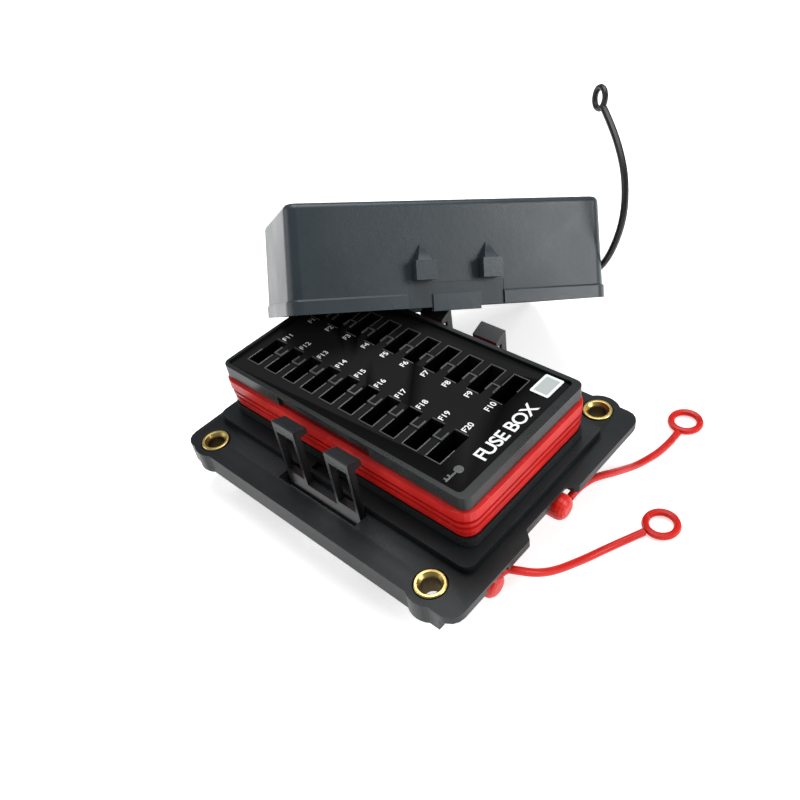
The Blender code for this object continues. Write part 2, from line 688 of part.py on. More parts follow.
def make_stud_caps():
    length, depth = CAP_END - CAP_START, 5.4
    nose = 2.4
    profile = [(0.0, length), (CAP_RADIUS - nose, length)]
    for step in range(1, 4):
        angle = math.radians(30 * step)
        profile.append((CAP_RADIUS - nose + nose * math.sin(angle), length - nose + nose * math.cos(angle)))
    profile += [(CAP_RADIUS, 0.0), (CAP_BORE, 0.0), (CAP_BORE, depth), (0.0, depth)]
    for side_name, y in STUD_YS.items():
        cap = turned(f"stud_cap_{side_name}", profile, (CAP_START, y, STUD_Z), axis="x", segments=20)
        as_part(cap, "cap_rubber")
        points = smooth_route(STRAP_ROUTES[side_name], STRAP_DIAMETER * 2.2)
        curve = tube(f"cap_strap_{side_name}", points, STRAP_DIAMETER / 2)
        strap = bpy.data.objects.new(f"cap_strap_{side_name}", curve)
        curve.materials.append(finish_material("cap_rubber"))
        PARTS.objects.link(strap)
        ring = torus(f"strap_ring_{side_name}", (*RING_CENTRES[side_name], RING_MINOR + 0.1),
                     RING_MAJOR - RING_MINOR, RING_MINOR)
        as_part(ring, "cap_rubber")


# ---------------------------------------------------------------- latches

def make_latches():
    for side_name, side in SIDES.items():
        half = LATCH_CENTRE + LATCH_ARM / 2
        latch = boxes(f"latch_{side_name}", [
            mirrored_box(side, -half, half, LATCH_INNER, LATCH_OUTER, LATCH_LOW, LATCH_HIGH)])
        hooks, windows = [], []
        for sx in (-1, 1):
            hooks.append(mirrored_box(
                side, sx * LATCH_CENTRE - LATCH_ARM / 2, sx * LATCH_CENTRE + LATCH_ARM / 2,
                HOOK_REACH, LATCH_INNER + 0.5, WINDOW_HIGH, LATCH_HIGH))
            windows.append(mirrored_box(
                side, sx * LATCH_CENTRE - WINDOW_X / 2, sx * LATCH_CENTRE + WINDOW_X / 2,
                LATCH_INNER - 1, LATCH_OUTER + 1, WINDOW_LOW, WINDOW_HIGH))
        add(latch, boxes(f"latch_hooks_{side_name}", hooks))
        inner = LATCH_CENTRE - LATCH_ARM / 2
        windows.append(mirrored_box(
            side, -inner, inner, HOOK_REACH - 1, LATCH_OUTER + 1, FLANGE_TOP, LATCH_HIGH + 1))
        cut(latch, boxes(f"latch_windows_{side_name}", windows))
        # the top slopes down towards the module, so that the cover's lugs push the hooks aside
        slope = extruded(f"latch_slope_{side_name}", [
            Vector((HOOK_REACH - 1, LATCH_HIGH - 2.4)), Vector((LATCH_OUTER - 0.4, LATCH_HIGH + 0.1)),
            Vector((LATCH_OUTER - 0.4, LATCH_HIGH + 2)), Vector((HOOK_REACH - 1, LATCH_HIGH + 2)),
        ], -half - 1, half + 1, axis="y")
        slope.data.transform(Matrix.Rotation(math.radians(90 * side), 4, "Z"))
        cut(latch, slope)
        pin = rounds(f"latch_pin_{side_name}", [((0, side * LATCH_AXIS_Y, LATCH_AXIS_Z), TRUNNION, 41.0)],
                     axis="x", segments=14)
        add(latch, pin)
        set_origin(latch, (0, side * LATCH_AXIS_Y, LATCH_AXIS_Z))
        as_part(latch, "latch_plastic")


# ---------------------------------------------------------------- cover

def cover_half(height):
    """How far the cover's outside is drawn in at a height above its open edge."""
    if height <= LIP_HEIGHT:
        return 0.0
    top = COVER_HEIGHT - ROOF_ROUND
    return LIP_STEP + COVER_DRAFT * (height - LIP_HEIGHT) / (top - LIP_HEIGHT)


def cover_section(height, shrink=0.0):
    draw = cover_half(height) + shrink
    loop = rounded_loop(COVER_X - draw, COVER_Y - draw, COVER_CORNER - draw, segments=5)
    return loop, height


def make_cover(pose):
    top = COVER_HEIGHT - ROOF_ROUND
    sections = [cover_section(0.0), cover_section(LIP_HEIGHT), cover_section(LIP_HEIGHT + LIP_STEP), cover_section(top)]
    draw = LIP_STEP + COVER_DRAFT
    for step in range(1, 4):
        angle = math.radians(30 * step)
        inwards = draw + ROOF_ROUND * (1 - math.cos(angle))
        loop = rounded_loop(COVER_X - inwards, COVER_Y - inwards, COVER_CORNER - inwards, segments=5)
        sections.append((loop, top + ROOF_ROUND * math.sin(angle)))
    cover = loft("cover", sections, cap_low=False)
    shell = cover.modifiers.new("wall", "SOLIDIFY")
    shell.thickness = COVER_WALL * MM
    shell.offset = -1.0
    shell.use_even_offset = True

    zones, blocks, tabs = [], [], []
    for side in SIDES.values():
        zones.append(mirrored_box(side, -ZONE_HALF, ZONE_HALF, COVER_Y - 0.8, COVER_Y + 1, -1, ZONE_HIGH))
        tabs.append(mirrored_box(side, -TAB_HALF, TAB_HALF, COVER_Y - 2.4, COVER_Y - 0.2, -TAB_DROP, LIP_HEIGHT))
        for sx in (-1, 1):
            blocks.append(mirrored_box(
                side, sx * LATCH_CENTRE - LUG_WIDTH / 2, sx * LATCH_CENTRE + LUG_WIDTH / 2,
                COVER_Y - 1.6, LUG_OUT, LUG_LOW, LUG_HIGH))
    cut(cover, boxes("cover_zones", zones))
    add(cover, boxes("cover_tabs", tabs), boxes("cover_lugs", blocks), make_ramps())
    hole = rounds("cover_pin_hole", [((COVER_X, *TETHER_PIN), 1.6, 12)], axis="x", segments=14)
    cut(cover, hole)
    for tool in [m.object for m in cover.modifiers if m.type == "BOOLEAN"]:
        tool.parent = pose
    as_part(cover, "cover_plastic", 30)
    cover.parent = pose


def make_ramps():
    """Four pointed ramps, one on top of each lug."""
    bm = bmesh.new()
    depth = LUG_OUT - 0.8 - (COVER_Y - 1.6)
    for side in SIDES.values():
        for sx in (-1, 1):
            bottom = bmesh.ops.create_cone(
                bm, cap_ends=True, segments=4, radius1=1.0, radius2=0.05, depth=1.0,
                matrix=Matrix.Rotation(math.radians(45), 4, "Z"))["verts"]
            size = metres((LUG_WIDTH - 1.8) / math.sqrt(2), depth / math.sqrt(2), RAMP_TOP - LUG_HIGH + 0.5)
            bmesh.ops.scale(bm, vec=size, verts=bottom)
            tip = [v for v in bottom if v.co.z > 0]
            bmesh.ops.translate(bm, verts=tip, vec=metres(0, -side * (depth / 2 - 0.1), 0))
            place = metres(sx * LATCH_CENTRE, side * (COVER_Y - 1.6 + depth / 2), (RAMP_TOP + LUG_HIGH - 0.5) / 2)
            bmesh.ops.translate(bm, verts=bottom, vec=place)
    return mesh_object("cover_ramps", bm)


def make_tether(pose):
    """A stiff moulded strap with a pad at its root and a ring at its end."""
    route = [(TETHER_X, y, z) for y, z in TETHER_ROUTE]
    points = smooth_route(route, 3.0)
    strap = curve_to_mesh(
        "cover_tether", tube("tether_curve", points, TETHER_RADIUS), Matrix.Identity(4))
    pad = rounds("tether_pad", [((TETHER_X, *TETHER_PIN), 4.0, 2.2)], axis="x", segments=24)
    ring = torus("tether_ring", (TETHER_X, *TETHER_RING), TETHER_RING_RADIUS, 1.1, axis="x", segments=(24, 8))
    add(strap, pad, ring)
    hole = rounds("tether_hole", [((TETHER_X, *TETHER_PIN), 1.65, 8)], axis="x", segments=14)
    cut(strap, hole)
    for tool in (pad, ring, hole):
        tool.parent = pose
    as_part(strap, "tether_plastic")
    strap.parent = pose

    inner_head, outer_head = 54.9, TETHER_X + 1.1 + GAP
    rivet = turned("tether_rivet", [
        (0.0, outer_head + 1.2), (1.6, outer_head + 1.2), (2.7, outer_head + 0.5), (2.7, outer_head),
        (1.3, outer_head), (1.3, inner_head + 0.9), (2.4, inner_head + 0.9), (2.4, inner_head),
        (0.0, inner_head),
    ], (0, *TETHER_PIN), axis="x", segments=18)
    as_part(rivet, "tether_plastic")
    rivet.parent = pose


def make_label():
    label = extruded("rating_label", [Vector(p) for p in filleted([
        (41.2, 17.9, 0.5), (48.0, 17.9, 0.5), (48.0, 27.1, 0.5), (41.2, 27.1, 0.5)], 2)],
        FACE_TOP + GAP, FACE_TOP + GAP + 0.15)
    as_part(label, "label_film")


def main():
    make_base()
    make_bushings()
    make_housing()
    make_fuse_block()
    make_seal()
    make_bus_bars()
    make_load_terminals()
    make_terminal_locks()
    make_input_studs()
    make_stud_caps()
    make_latches()
    pose = bpy.data.objects.new("cover_pose", None)
    PARTS.objects.link(pose)
    make_cover(pose)
    make_tether(pose)
    make_label()
    pose.location = metres(*COVER_PLACE)
    pose.rotation_euler = Euler([math.radians(a) for a in COVER_TILT], "XYZ")
    bpy.context.view_layer.update()


main()
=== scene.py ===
# %% [markdown]
# # A sealed fuse panel
#
# The panel's solids come from CAD and are already in the right place. This script gives them their
# finishes and adds the small things a moulding tool leaves: guides beside the sockets, printed
# numbers and soft edges. Everything is in metres, with X along the fuse rows.

import math

import bmesh
import bpy
from mathutils import Euler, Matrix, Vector


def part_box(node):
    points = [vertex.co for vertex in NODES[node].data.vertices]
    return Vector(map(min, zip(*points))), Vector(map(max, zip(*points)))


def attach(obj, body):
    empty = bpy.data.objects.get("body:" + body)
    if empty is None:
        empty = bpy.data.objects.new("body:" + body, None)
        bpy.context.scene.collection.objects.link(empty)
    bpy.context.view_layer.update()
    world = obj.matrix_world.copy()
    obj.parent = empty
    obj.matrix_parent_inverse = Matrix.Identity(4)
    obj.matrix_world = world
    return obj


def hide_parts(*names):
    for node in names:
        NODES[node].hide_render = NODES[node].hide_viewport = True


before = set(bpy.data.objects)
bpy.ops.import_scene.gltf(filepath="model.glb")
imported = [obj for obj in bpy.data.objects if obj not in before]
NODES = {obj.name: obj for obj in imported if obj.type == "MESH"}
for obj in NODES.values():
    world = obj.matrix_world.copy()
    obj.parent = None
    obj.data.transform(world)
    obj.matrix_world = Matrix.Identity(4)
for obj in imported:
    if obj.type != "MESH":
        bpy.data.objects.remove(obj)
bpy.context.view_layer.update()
MM = 0.001

# %% [markdown]
# ## Camera
# The view is from the front right corner, a bit more than 300 mm away and about 45 degrees up.
# A wide lens this near makes the front corner look large, as it does on a product shot.

# %% Camera
lens = bpy.data.cameras.new("view")
lens.lens = 35.71
lens.sensor_width = 36.0
lens.clip_start = 0.01
camera = bpy.data.objects.new("view", lens)
camera.location = (0.15174, -0.13131, 0.20741)
camera.rotation_euler = Euler([math.radians(a) for a in (48.455, 7.553, 42.219)], "XYZ")
bpy.context.scene.collection.objects.link(camera)
bpy.context.scene.camera = camera
print("camera at", tuple(camera.location))

# %% [markdown]
# ## Shader maths as expressions
# A material is a network of nodes. Wiring each Math node by hand hides what it does, so a small
# class wraps a socket and lets ordinary signs build the nodes: `1 - mask` is one Math node.

# %% A socket that does maths
class Wire:
    """A socket of a shader network, with the signs of arithmetic."""

    def __init__(self, net, socket):
        self.net = net
        self.socket = socket

    def math(self, operation, *others):
        values = {index + 1: other for index, other in enumerate(others)}
        return self.net.node("ShaderNodeMath", {"operation": operation}, {0: self, **values})[0]

    def __add__(self, other):
        return self.math("ADD", other)

    def __mul__(self, other):
        return self.math("MULTIPLY", other)

    def __sub__(self, other):
        return self.math("SUBTRACT", other)

    def __rsub__(self, other):
        return self.net.node("ShaderNodeMath", {"operation": "SUBTRACT"}, {0: other, 1: self})[0]

    __radd__ = __add__
    __rmul__ = __mul__

    def ramp(self, low, high):
        """0 below low, 1 above high and straight between them."""
        return self.net.node("ShaderNodeMapRange", {}, {0: self, 1: low, 2: high})[0]


# %% A network of one material
class Net:
    """One material's nodes. Its method node() makes any node in one line."""

    def __init__(self, name):
        self.material = bpy.data.materials.new(name)
        self.material.use_nodes = True
        self.tree = self.material.node_tree
        self.shader = self.tree.nodes["Principled BSDF"]
        self.place = self.node("ShaderNodeTexCoord")["Object"]

    def connect(self, socket, value):
        if isinstance(value, Wire):
            self.tree.links.new(value.socket, socket)
        else:
            socket.default_value = value

    def node(self, kind, settings=None, values=None):
        made = self.tree.nodes.new(kind)
        for key, value in (settings or {}).items():
            setattr(made, key, value)
        for key, value in (values or {}).items():
            self.connect(made.inputs[key], value)
        return Outputs(self, made)

    def noise(self, scale, detail=2.0, place=None):
        found = self.node("ShaderNodeTexNoise", {}, {
            "Vector": place or self.place, "Scale": scale, "Detail": detail})
        return found["Fac"]

    def blend(self, amount, low, high):
        """A colour between low and high."""
        colour_a, colour_b, colour_out = 6, 7, 2
        found = self.node(
            "ShaderNodeMix", {"data_type": "RGBA"}, {"Factor": amount, colour_a: low, colour_b: high})
        return found[colour_out]

    def bump(self, height, depth, strength=1.0, under=None):
        values = {"Height": height, "Distance": depth, "Strength": strength}
        if under:
            values["Normal"] = under
        return self.node("ShaderNodeBump", {}, values)["Normal"]

    def finish(self, **sockets):
        for key, value in sockets.items():
            self.connect(self.shader.inputs[key.replace("_", " ")], value)
        return self.material


class Outputs:
    """The output sockets of a node, as wires."""

    def __init__(self, net, made):
        self.net = net
        self.made = made

    def __getitem__(self, key):
        return Wire(self.net, self.made.outputs[key])


def rgb(red, green, blue):
    return (red, green, blue, 1.0)


print("shader helpers ready")

# %% [markdown]
# ## Moulded plastic
# The base, the module and the cover are moulded nylon. Real nylon is not one flat colour: the
# flow of the melt leaves soft clouds, the tool leaves a fine grain, and handling polishes the
# corners. The clouds drive colour and roughness, and two scales of grain drive the bump.

# %% Plastic
def moulded(name, dark, light, roughness=0.4, grain=1.0, edge_wear_and_highlight=0.35, shine=0.5):
    net = Net(name)
    clouds = net.noise(38.0, 4.0).ramp(0.30, 0.70)
    flow = net.noise(9.0, 3.0, stretched(net, (1.0, 6.0, 1.0))).ramp(0.35, 0.65)
    grains = net.noise(2600.0, 2.0)
    coarse = net.noise(420.0, 3.0)
    edge = net.node("ShaderNodeNewGeometry")["Pointiness"].ramp(0.515, 0.60)
    specks = net.noise(1700.0, 1.0).ramp(0.74, 0.84)
    body = net.blend(clouds * 0.6 + flow * 0.4, rgb(*dark), rgb(*light))
    # Convex edges are lightened: wear from handling, and where the amount is high, as on the guides, a
    # painted highlight.
    edge_wear_and_highlight_colour = net.blend(edge * edge_wear_and_highlight, body, rgb(*(min(1.0, 2.4 * c + 0.03) for c in light)))
    dusty = net.blend(specks * 0.04, edge_wear_and_highlight_colour, rgb(0.35, 0.35, 0.34))
    rough = clouds * 0.10 + grains * 0.10 - edge * 0.12 + (roughness - 0.10)
    normal = net.bump(grains, 0.00006 * grain, 0.55, net.bump(coarse, 0.00010 * grain, 0.35))
    return net.finish(
        Base_Color=dusty, Roughness=rough, Normal=normal, IOR=1.5, Specular_IOR_Level=shine)


def stretched(net, factors):
    found = net.node("ShaderNodeVectorMath", {"operation": "MULTIPLY"}, {0: net.place, 1: factors})
    return found["Vector"]


BASE = moulded("base_nylon", (0.0040, 0.0054, 0.0062), (0.0100, 0.0128, 0.0142), 0.38, shine=0.17)
MODULE = moulded("module_nylon", (0.0040, 0.0052, 0.0054), (0.0100, 0.0124, 0.0128),
                 0.34, grain=0.4, shine=0.24)
FACE = moulded("face_nylon", (0.0010, 0.0010, 0.0012), (0.0024, 0.0025, 0.0028),
               0.36, grain=0.5, shine=0.01)
# The guides, lips and key mark are moulded in the face's own black nylon. Their much lighter colour and
# strongly lightened edges are a painted highlight on the raised walls.
PAINTED_HIGHLIGHT_NYLON = moulded("guide_nylon_painted_highlight", (0.0110, 0.0118, 0.0124), (0.0260, 0.0275, 0.0285),
                0.22, grain=0.3, edge_wear_and_highlight=0.8, shine=0.70)
COVER = moulded("cover_slate", (0.018, 0.026, 0.032), (0.028, 0.038, 0.046),
                0.38, edge_wear_and_highlight=0.22, shine=0.36)
LATCH = moulded("latch_nylon", (0.0035, 0.0042, 0.0047), (0.0095, 0.0110, 0.0120),
                0.34, grain=0.6, shine=0.30)
TETHER = moulded("tether_nylon", (0.0040, 0.0040, 0.0046), (0.0090, 0.0090, 0.0100), 0.40, shine=0.35)
LOCK = moulded("lock_nylon", (0.26, 0.27, 0.27), (0.36, 0.37, 0.37), 0.45)
print("plastics:", [m.name for m in (BASE, MODULE, FACE, PAINTED_HIGHLIGHT_NYLON, COVER, LATCH, TETHER, LOCK)])

# %% [markdown]
# ## Silicone
# The seal and the caps are silicone rubber. It is smooth and slightly clear, so light spreads a little
# under its skin, and pale dust lies on it in specks. The valleys between the seal's ribs are painted
# a darker red, as painted shade, and raised crests are painted lighter, as painted highlight.

# %% Silicone
def silicone(name, deep, bright, roughness, valleys=()):
    net = Net(name)
    height = net.node("ShaderNodeSeparateXYZ", {}, {0: net.place})["Z"]
    clouds = net.noise(60.0, 3.0).ramp(0.32, 0.68)
    fine = net.noise(1500.0, 2.0)
    dust = net.noise(700.0, 2.0).ramp(0.62, 0.80)
    # Painted highlight: convex crests, found by pointiness, are blended towards the bright colour.
    painted_ridge_highlight = net.node("ShaderNodeNewGeometry")["Pointiness"].ramp(0.50, 0.62)
    body = net.blend(clouds * 0.7 + painted_ridge_highlight * 0.3, rgb(*deep), rgb(*bright))
    # Painted shade: a narrow band round each valley height is blended towards dark red.
    for level in valleys:
        painted_valley_shade = 1 - (height - level).math("ABSOLUTE").ramp(0.0001, 0.0008)
        body = net.blend(painted_valley_shade * 0.75, body, rgb(0.13, 0.002, 0.002))
    dusty = net.blend(dust * 0.10, body, rgb(0.85, 0.45, 0.40))
    rough = clouds * 0.08 + dust * 0.15 + (roughness - 0.04)
    normal = net.bump(fine, 0.00004, 0.5)
    return net.finish(
        Base_Color=dusty, Roughness=rough, Normal=normal, IOR=1.43,
        Subsurface_Weight=0.08, Subsurface_Scale=0.001, Specular_IOR_Level=0.35)


SEAL_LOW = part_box("perimeter_seal")[0][2]
# The three heights are the valleys between the seal's ribs, which get painted shade.
SEAL = silicone("seal_silicone", (0.42, 0.004, 0.003), (0.66, 0.012, 0.008), 0.34,
                [SEAL_LOW + level * MM for level in (1.6, 4.4, 7.2)])
CAP = silicone("cap_silicone", (0.46, 0.006, 0.003), (0.64, 0.014, 0.006), 0.34)
print("silicones:", SEAL.name, CAP.name)

# %% [markdown]
# ## Metal
# The sleeves are turned brass and the contacts are stamped copper alloy. Turning leaves fine
# rings round the axis. Tarnish is uneven, so it changes colour and roughness together.

# %% Metal
def metal(name, clean, stained, roughness, rings=900.0, painted_shade_below=None):
    """Turned or stamped metal. Below the given height its colour is painted near black as painted shade
    inside a bore, and it is rougher there.
    """
    net = Net(name)
    stain = net.noise(220.0, 4.0).ramp(0.40, 0.75)
    scratches = net.noise(rings, 2.0, stretched(net, (0.25, 0.25, 3.0)))
    edge = net.node("ShaderNodeNewGeometry")["Pointiness"].ramp(0.51, 0.60)
    body = net.blend(stain * 0.6, rgb(*clean), rgb(*stained))
    bright = net.blend(edge * 0.4, body, rgb(*(min(1.0, c * 1.25 + 0.05) for c in clean)))
    rough = stain * 0.16 + scratches * 0.12 + (roughness - 0.06)
    if painted_shade_below is not None:
        # Painted shade: below the given height the colour is blended to a dark brown, the shade inside
        # the bore.
        height = net.node("ShaderNodeSeparateXYZ", {}, {0: net.place})["Z"]
        depth = 1 - height.ramp(painted_shade_below - 0.0012, painted_shade_below)
        bright = net.blend(depth * 0.93, bright, rgb(0.035, 0.020, 0.008))
        rough = rough + depth * 0.25
    normal = net.bump(scratches, 0.00003, 0.4)
    return net.finish(Base_Color=bright, Roughness=rough, Normal=normal, Metallic=1.0)


# Brass gets painted bore shade from 0.6 mm under the sleeve top downwards.
BRASS = metal("turned_brass", (0.62, 0.48, 0.17), (0.34, 0.25, 0.08), 0.26,
              painted_shade_below=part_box("bushing_front_left")[1][2] - 0.6 * MM)
COPPER = metal("copper_alloy", (0.86, 0.50, 0.32), (0.55, 0.27, 0.16), 0.30)
STEEL = metal("zinc_steel", (0.66, 0.66, 0.64), (0.48, 0.47, 0.43), 0.32)
print("metals:", BRASS.name, COPPER.name, STEEL.name)

# %% [markdown]
# ## Finishes on the CAD pieces
# Each node keeps its CAD shape and gets its finish by name. A Bevel modifier rounds the edges:
# no moulded edge is truly sharp, and the round catches a thin line of light.

# %% Give each node its finish
FINISHES = {
    "mounting_base": BASE, "module_housing": MODULE, "fuse_block": FACE, "perimeter_seal": SEAL,
    "cover": COVER, "cover_tether": TETHER, "tether_rivet": TETHER,
    "latch": LATCH, "terminal_lock": LOCK, "bushing": BRASS, "bus_bar": COPPER, "load_terminal": COPPER,
    "input_stud": STEEL, "stud_washer": STEEL, "stud_nut": STEEL,
    "stud_cap": CAP, "cap_strap": CAP, "strap_ring": CAP,
}
ROUNDS = {
    "mounting_base": 0.5, "module_housing": 0.35, "fuse_block": 0.25, "cover": 0.45, "latch": 0.3,
    "terminal_lock": 0.25, "bushing": 0.15, "stud_nut": 0.3, "input_stud": 0.25, "bus_bar": 0.1,
}


def named(table, node_name):
    """The entry whose key starts the node's name; the longest key wins."""
    keys = [key for key in table if node_name.startswith(key)]
    return table[max(keys, key=len)] if keys else None


def round_edges(node, width):
    """Clean flat faces, soft edges and even shading, in that order."""
    weld = node.modifiers.new("weld", "WELD")
    weld.merge_threshold = 0.004 * MM
    flats = node.modifiers.new("flats", "DECIMATE")
    flats.decimate_type = "DISSOLVE"
    flats.angle_limit = math.radians(0.4)
    bevel = node.modifiers.new("soft_edges", "BEVEL")
    bevel.width = width
    bevel.segments = 2
    bevel.limit_method = "ANGLE"
    bevel.angle_limit = math.radians(35)
    bevel.use_clamp_overlap = True
    even = node.modifiers.new("even_shading", "WEIGHTED_NORMAL")
    even.mode = "FACE_AREA"
    even.weight = 60


for node_name, node in NODES.items():
    finish = named(FINISHES, node_name)
    if finish:
        for place in node.material_slots:
            place.material = finish
    width = named(ROUNDS, node_name)
    if width:
        round_edges(node, width * MM)
print("finished:", len(NODES), "nodes,", sum(1 for n in NODES if named(ROUNDS, n)), "with soft edges")

# %% [markdown]
# ## Pull straps
# A strap is a length of soft silicone cord moulded to its cap. It arches up out of the cap, falls
# under its own weight and lies on the floor, where a ring ends it. A smooth curve through a few
# chosen points makes that shape, and a round section runs along it.

# %% Straps
STRAP_RADIUS = 1.3 * MM
STRAPS = {
    "front": [
        (61.2, -25.2, 14.6), (61.9, -23.2, 14.5), (64.2, -21.4, 13.8), (67.2, -18.2, 11.8),
        (69.3, -14.2, 9.4), (70.8, -9.4, 7.0), (72.0, -4.2, 4.8), (73.4, 1.3, 2.9),
        (75.2, 7.2, 1.7), (77.4, 12.5, 1.35), (79.4, 16.7, 1.35), (81.5, 21.18, 1.35),
    ],
    "back": [
        (61.3, 10.05, 14.6), (61.3, 13.5, 14.8), (61.6, 17.4, 14.5), (62.3, 21.8, 13.6),
        (63.5, 26.2, 12.1), (64.6, 31.0, 9.8), (65.2, 36.6, 6.7), (65.9, 42.6, 3.7),
        (66.9, 48.8, 1.9), (68.1, 54.5, 1.35), (68.8, 60.5, 1.35), (68.9, 66.86, 1.35),
    ],
}


def smooth_route(route, steps):
    """Points on a Catmull-Rom curve through the route."""
    knots = [Vector(p) for p in route]
    knots = [2 * knots[0] - knots[1]] + knots + [2 * knots[-1] - knots[-2]]
    points = []
    for a, b, c, d in zip(knots, knots[1:], knots[2:], knots[3:]):
        for step in range(steps):
            t = step / steps
            points.append(
                0.5 * (2 * b + (c - a) * t + (2 * a - 5 * b + 4 * c - d) * t * t
                       + (3 * b - a - 3 * c + d) * t ** 3)
            )
    return points + [knots[-2]]


def cord_curve(name, points, radius, material):
    curve = bpy.data.curves.new(name, "CURVE")
    curve.dimensions = "3D"
    curve.bevel_depth = radius
    curve.bevel_resolution = 5
    curve.use_fill_caps = True
    line = curve.splines.new("POLY")
    line.points.add(len(points) - 1)
    for target, point in zip(line.points, points):
        target.co = (*point, 1.0)
    curve.materials.append(material)
    obj = bpy.data.objects.new(name, curve)
    bpy.context.scene.collection.objects.link(obj)
    return obj


for side, route in STRAPS.items():
    points = [p * MM for p in smooth_route(route, 4)]
    strap = cord_curve(f"pull_strap_{side}", points, STRAP_RADIUS, CAP)
    length = sum((b - a).length for a, b in zip(points, points[1:]))
    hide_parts(f"cap_strap_{side}")
    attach(strap, f"stud_cap_{side}")
    print("strap", side, "is", round(length * 1000, 1), "mm long")

# %% [markdown]
# ## The fuse face
# Beside each socket the moulding has a small U-shaped guide that lets a fuse puller find the fuse,
# and a low lip runs round each socket. They are thin walls, so each is an outline extruded upwards
# and given a soft edge, rather than a bump in the material: they cast real shadows.

# %% Walls from outlines
FACE_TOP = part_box("fuse_block")[1][2]
PITCH = 9.08 * MM
SOCKET_XS = [35.7 * MM - PITCH * index for index in range(10)]
SIDES = {"front": -1, "back": 1}


ROOT = 0.1 * MM


def walls(name, outlines, low, high, material):
    """Closed outlines extruded between two heights, as one mesh with soft top edges."""
    bm = bmesh.new()
    for outline in outlines:
        ring = [bm.verts.new((x, y, low)) for x, y in outline]
        face = bm.faces.new(ring)
        top = bmesh.ops.extrude_face_region(bm, geom=[face])["geom"]
        bmesh.ops.translate(
            bm, verts=[v for v in top if isinstance(v, bmesh.types.BMVert)], vec=(0, 0, high - low))
    bmesh.ops.recalc_face_normals(bm, faces=bm.faces[:])
    mesh = bpy.data.meshes.new(name)
    bm.to_mesh(mesh)
    bm.free()
    mesh.materials.append(material)
    obj = bpy.data.objects.new(name, mesh)
    bpy.context.scene.collection.objects.link(obj)
    soften(obj, 0.09 * MM)
    return obj


def soften(obj, width):
    bevel = obj.modifiers.new("soft_edges", "BEVEL")
    bevel.width = width
    bevel.segments = 2
    bevel.limit_method = "ANGLE"
    bevel.angle_limit = math.radians(35)
    bevel.harden_normals = True


def on_face(name, outlines, height, material):
    """Walls that stand on the fuse face and are rooted a little way into it."""
    piece = walls(name, outlines, FACE_TOP - ROOT, FACE_TOP + height, material)
    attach(piece, "panel")


def u_outline(x, side, half=1.78, closed=14.5, open_end=10.7, thick=0.55):
    """A U round a separator, with its closed end outwards. Sizes in millimetres."""
    points = [
        (-half, open_end), (-half, closed), (half, closed), (half, open_end),
        (half - thick, open_end), (half - thick, closed - thick),
        (thick - half, closed - thick), (thick - half, open_end),
    ]
    return [(x + dx * MM, side * dy * MM) for dx, dy in points]


def bar_outline(x_low, x_high, y_low, y_high):
    return [(x_low, y_low), (x_high, y_low), (x_high, y_high), (x_low, y_high)]


for side_name, side in SIDES.items():
    guides = [u_outline(x - PITCH / 2, side) for x in SOCKET_XS[:-1]]
    on_face(f"puller_guides_{side_name}", guides, 0.55 * MM, PAINTED_HIGHLIGHT_NYLON)

# %% [markdown]
# The lip round a socket is four low bars. The long ones stand just outside the socket's long
# sides; the outer end has a second pair, which in use holds the fuse upright.

# %% Socket lips
def socket_lips(x, side):
    half, thick = 2.72 * MM, 0.35 * MM
    inner, outer = 8.5 * MM, 21.6 * MM
    bars = []
    for sign in (-1, 1):
        edges = sorted((x + sign * half, x + sign * (half + thick)))
        bars.append((*edges, 15.2 * MM, outer))
    bars.append((x - half - thick, x + half + thick, outer + 0.05 * MM, outer + 0.4 * MM))
    bars.append((x - half * 0.9, x + half * 0.9, inner - 0.5 * MM, inner - 0.12 * MM))
    return [bar_outline(a, b, *sorted((side * c, side * d))) for a, b, c, d in bars]


for side_name, side in SIDES.items():
    lips = [outline for x in SOCKET_XS for outline in socket_lips(x, side)]
    on_face(f"socket_lips_{side_name}", lips, 0.28 * MM, PAINTED_HIGHLIGHT_NYLON)
print("guides and lips on", len(SOCKET_XS) * 2, "sockets")

# %% [markdown]
# ## Key mark
# A small raised key stands in the front right corner of the face and shows where the cover opens.

# %% Key mark
def key_outline(x, y):
    """A shaft with two teeth and a bow; y is where the shaft begins."""
    shaft = [(0.35, 0.0), (0.35, 4.6)]
    bow = []
    for step in range(13):
        angle = math.radians(-60 + 25 * step)
        bow.append((1.55 * math.cos(angle), 5.8 + 1.55 * math.sin(angle)))
    back = [(-0.35, 4.6), (-0.35, 2.6), (-1.3, 2.6), (-1.3, 1.9), (-0.35, 1.9), (-0.35, 1.1),
            (-1.3, 1.1), (-1.3, 0.4), (-0.35, 0.4), (-0.35, 0.0)]
    return [(x + dx * MM, y + dy * MM) for dx, dy in shaft + bow + back]


on_face("key_mark", [key_outline(44.3 * MM, -26.2 * MM)], 0.4 * MM, PAINTED_HIGHLIGHT_NYLON)
print("key mark made")

# %% [markdown]
# ## Printing
# The socket numbers are pad printed in white, a film of ink much thinner than a hair. Text objects
# are the direct way to make letters; a very small extrusion gives the film its body. The ink
# lets a little of the black through, so its finish is mottled.

# %% White print
def ink_finish():
    net = Net("white_ink")
    thin = net.noise(1800.0, 3.0).ramp(0.30, 0.62)
    body = net.blend(thin, rgb(0.62, 0.63, 0.63), rgb(0.90, 0.91, 0.91))
    return net.finish(Base_Color=body, Roughness=thin * 0.1 + 0.38)


INK = ink_finish()


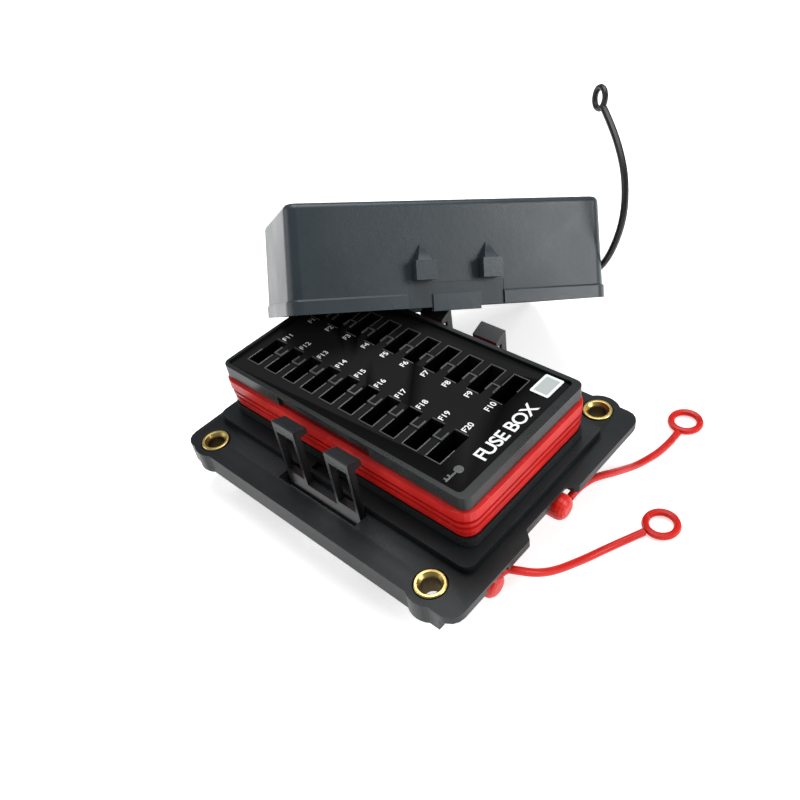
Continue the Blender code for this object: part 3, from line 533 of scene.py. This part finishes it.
def printed(name, words, place, size, spread=0.0, spacing=1.0):
    """Words on the face that read from the right-hand end, starting at a place."""
    text = bpy.data.curves.new(name, "FONT")
    text.body = words
    text.size = size
    text.offset = spread
    text.space_character = spacing
    text.extrude = 0.015 * MM
    text.align_x = "LEFT"
    text.align_y = "CENTER"
    text.materials.append(INK)
    obj = bpy.data.objects.new(name, text)
    obj.location = (place[0], place[1], FACE_TOP + 0.03 * MM)
    obj.rotation_euler = (0, 0, math.radians(90))
    bpy.context.scene.collection.objects.link(obj)
    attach(obj, "panel")
    return obj


NUMBER_SIZE, NUMBER_WEIGHT = 3.0 * MM, 0.05 * MM
FRONT_START, BACK_START, BACK_START_LONG = -7.6 * MM, 4.9 * MM, 3.4 * MM
for index, x in enumerate(SOCKET_XS):
    number = len(SOCKET_XS) - index
    start = BACK_START if number < 10 else BACK_START_LONG
    printed(f"number_f{number}", f"F{number}", (x, start), NUMBER_SIZE, NUMBER_WEIGHT)
    printed(f"number_f{number + 10}", f"F{number + 10}", (x, FRONT_START), NUMBER_SIZE, NUMBER_WEIGHT)
printed("title", "FUSE BOX", (46.3 * MM, -13.8 * MM), 6.4 * MM, 0.10 * MM, 0.92)
print("printed", 2 * len(SOCKET_XS) + 1, "pieces of text")

# %% [markdown]
# ## Rating label
# The label is a paper-backed film. Its printed square is a second, very thin layer in pale grey.

# %% Label
def film(name, colour, fibre):
    net = Net(name)
    fibres = net.noise(1200.0, 4.0, stretched(net, (1.0, 4.0, 1.0))).ramp(0.3, 0.7)
    body = net.blend(fibres * 0.5, rgb(*colour), rgb(*fibre))
    return net.finish(
        Base_Color=body, Roughness=fibres * 0.08 + 0.42, Normal=net.bump(fibres, 0.00002, 0.3))


for place in NODES["rating_label"].material_slots:
    place.material = film("label_film", (0.80, 0.82, 0.82), (0.74, 0.76, 0.76))
low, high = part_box("rating_label")
margin = 0.9 * MM
square = bar_outline(low[0] + margin, high[0] - margin, low[1] + margin, high[1] - margin)
grey = film("label_grey", (0.40, 0.44, 0.44), (0.33, 0.37, 0.37))
patch = walls("label_square", [square], high[2] - 0.05 * MM, high[2] + 0.02 * MM, grey)
patch.modifiers.clear()
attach(patch, "panel")
print("label finished")

# %% [markdown]
# ## Floor and light
# A pale floor that glows a little and a pale surround give soft, even light, as a light tent does.
# Three panels add shape: a key from the right, a soft one overhead and a weak fill from the left.
# Their long reflections draw the edges of the dark plastic.

# %% Floor and lights
def floor_finish():
    net = Net("floor")
    mottle = net.noise(14.0, 3.0).ramp(0.3, 0.7)
    shade = net.blend(mottle * 0.3, rgb(0.93, 0.93, 0.93), rgb(0.96, 0.96, 0.96))
    return net.finish(
        Base_Color=shade, Roughness=0.85, Emission_Color=rgb(1.0, 1.0, 1.0), Emission_Strength=0.60)


bpy.ops.mesh.primitive_plane_add(size=6.0, location=(0, 0, -0.0002))
floor = bpy.context.object
floor.name = "floor"
floor.data.materials.append(floor_finish())

world = bpy.data.worlds.new("studio")
world.use_nodes = True
world.node_tree.nodes["Background"].inputs["Color"].default_value = (1.0, 1.0, 1.0, 1.0)
world.node_tree.nodes["Background"].inputs["Strength"].default_value = 0.30
bpy.context.scene.world = world


def light_panel(name, place, aim, size, power):
    lamp = bpy.data.lights.new(name, "AREA")
    lamp.shape = "RECTANGLE"
    lamp.size, lamp.size_y = size
    lamp.energy = power
    obj = bpy.data.objects.new(name, lamp)
    obj.location = place
    obj.rotation_euler = (Vector(aim) - Vector(place)).to_track_quat("-Z", "Y").to_euler()
    bpy.context.scene.collection.objects.link(obj)


light_panel("key", (0.66, 0.24, 0.36), (0, 0.05, 0.03), (0.30, 0.34), 3.2)
light_panel("top", (-0.10, 0.20, 0.80), (0, 0, 0.02), (0.60, 0.60), 6.0)
light_panel("left_fill", (-0.52, -0.46, 0.26), (0, 0, 0.04), (0.40, 0.30), 0.9)
bpy.context.scene.view_settings.view_transform = "Standard"
